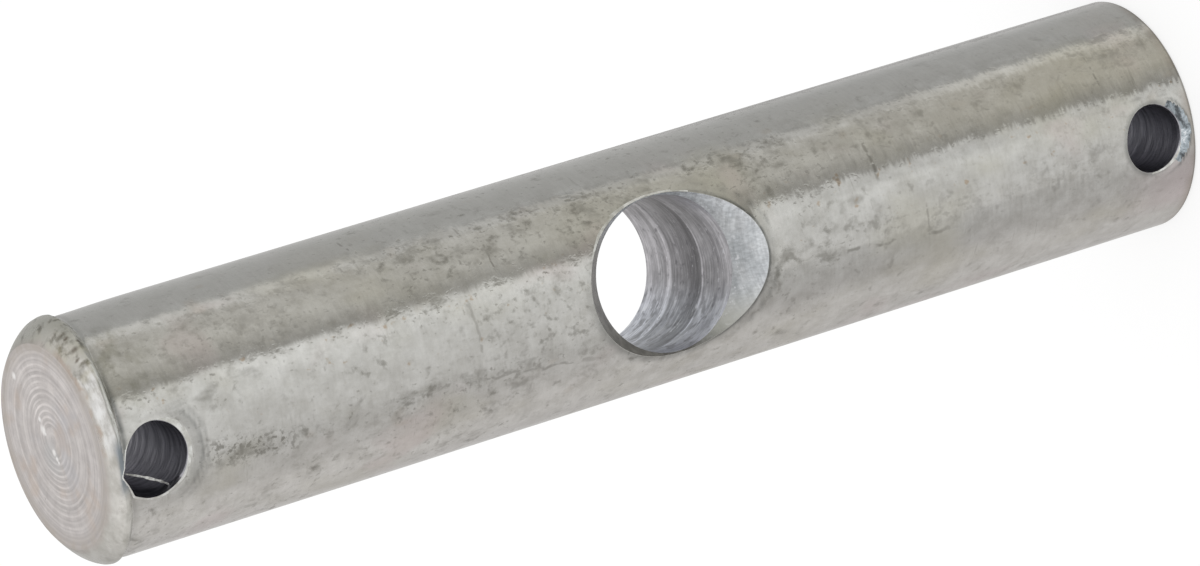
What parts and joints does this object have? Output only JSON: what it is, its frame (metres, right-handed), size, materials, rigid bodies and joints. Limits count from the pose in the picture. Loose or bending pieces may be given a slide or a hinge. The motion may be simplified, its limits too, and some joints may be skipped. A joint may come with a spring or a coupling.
{
  "type": "lever shaft",
  "caption": "Round steel lever shaft with a countersunk middle cross bore, a small cross hole near each end and one rounded, upset end.",
  "frame": {"origin": "centre of the plain end's face, which the shaft stands on", "axes": "+Z along the shaft towards its lipped end; -Y along the middle bore, towards the viewer of the picture"},
  "size_m": [0.0204, 0.0204, 0.106],
  "materials": {
    "plated_steel": "zinc-plated drawn bar, satin, with fine pits and scratches"
  },
  "bodies": {
    "root": {"lever_shaft": "plated_steel"}
  },
  "joints": []
}
